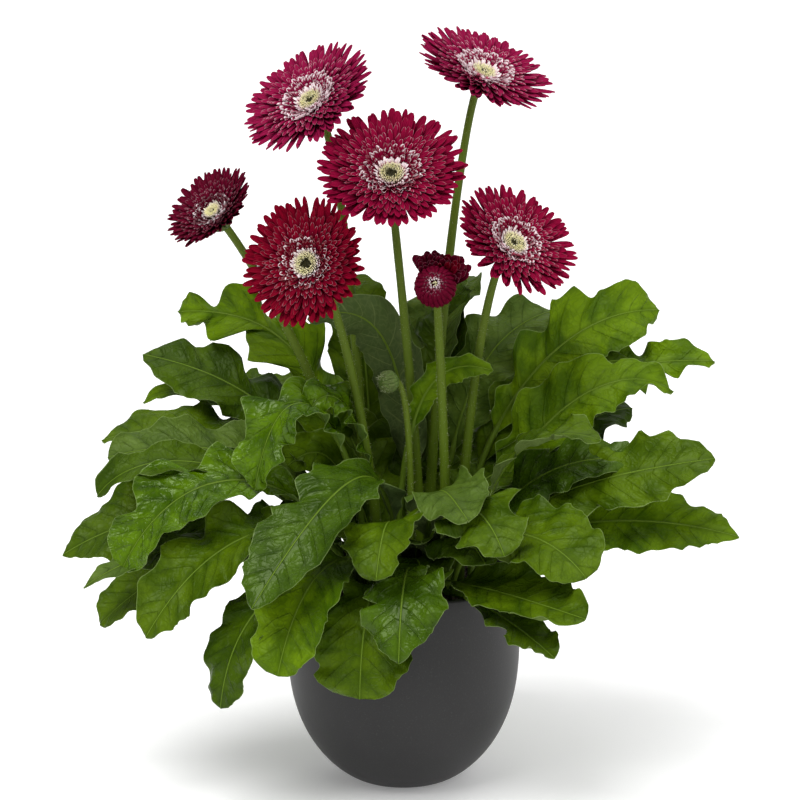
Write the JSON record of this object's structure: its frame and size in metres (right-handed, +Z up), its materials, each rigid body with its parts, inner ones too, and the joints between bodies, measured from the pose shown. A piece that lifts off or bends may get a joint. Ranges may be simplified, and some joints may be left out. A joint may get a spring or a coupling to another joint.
{
  "type": "potted gerbera plant",
  "caption": "Double-flowered gerbera in a round-bottomed pot: dark crimson daisies with pale eyes on bare stems above a rosette of lobed green leaves.",
  "frame": {"origin": "centre of the pot's flat foot, on the surface it stands on", "axes": "+Z up, -Y towards the plant's best side, +X to the right seen from there"},
  "size_m": [0.437, 0.316, 0.4828],
  "materials": {
    "pot": "matte charcoal glaze",
    "soil": "dark damp potting soil",
    "leaf": "semi-gloss quilted leaf with a matte paler underside",
    "stem": "downy green stem",
    "petals": "velvety crimson petal with pale margins",
    "eye": "cream florets round a dark middle"
  },
  "bodies": {
    "root": {"pot": "pot", "soil": "soil", "bloom_far_left_eye": "eye", "bloom_far_left_petals": "petals", "bloom_far_left_stem": "stem", "bloom_lower_left_eye": "eye", "bloom_lower_left_petals": "petals", "bloom_lower_left_stem": "stem", "bloom_lower_right_eye": "eye", "bloom_lower_right_petals": "petals", "bloom_lower_right_stem": "stem", "bloom_middle_eye": "eye", "bloom_middle_petals": "petals", "bloom_middle_stem": "stem", "bloom_upper_left_eye": "eye", "bloom_upper_left_petals": "petals", "bloom_upper_left_stem": "stem", "bloom_upper_right_eye": "eye", "bloom_upper_right_petals": "petals", "bloom_upper_right_stem": "stem", "green_bud": "stem", "leaf_back_left_arch": "leaf", "leaf_back_left_mid": "leaf", "leaf_back_low_left": "leaf", "leaf_back_low_right": "leaf", "leaf_back_mid": "leaf", "leaf_back_right_mid": "leaf", "leaf_back_tall": "leaf", "leaf_centre_arch": "leaf", "leaf_centre_thin": "leaf", "leaf_front_cupped": "leaf", "leaf_front_left_long": "leaf", "leaf_front_left_low": "leaf", "leaf_front_low": "leaf", "leaf_front_mid": "leaf", "leaf_front_right_low": "leaf", "leaf_front_right_round": "leaf", "leaf_front_right_upper": "leaf", "leaf_front_upper": "leaf", "leaf_left_broad": "leaf", "leaf_left_bullate": "leaf", "leaf_left_curled": "leaf", "leaf_left_dark": "leaf", "leaf_left_droop": "leaf", "leaf_left_flat": "leaf", "leaf_left_hanging": "leaf", "leaf_left_high": "leaf", "leaf_left_low": "leaf", "leaf_left_pale": "leaf", "leaf_left_small": "leaf", "leaf_right_arch": "leaf", "leaf_right_back_dark": "leaf", "leaf_right_back_high": "leaf", "leaf_right_back_mid": "leaf", "leaf_right_high": "leaf", "leaf_right_inner": "leaf", "leaf_right_long": "leaf", "leaf_right_low": "leaf", "opening_bloom_petals": "petals", "opening_bloom_stem": "stem"}
  },
  "joints": []
}
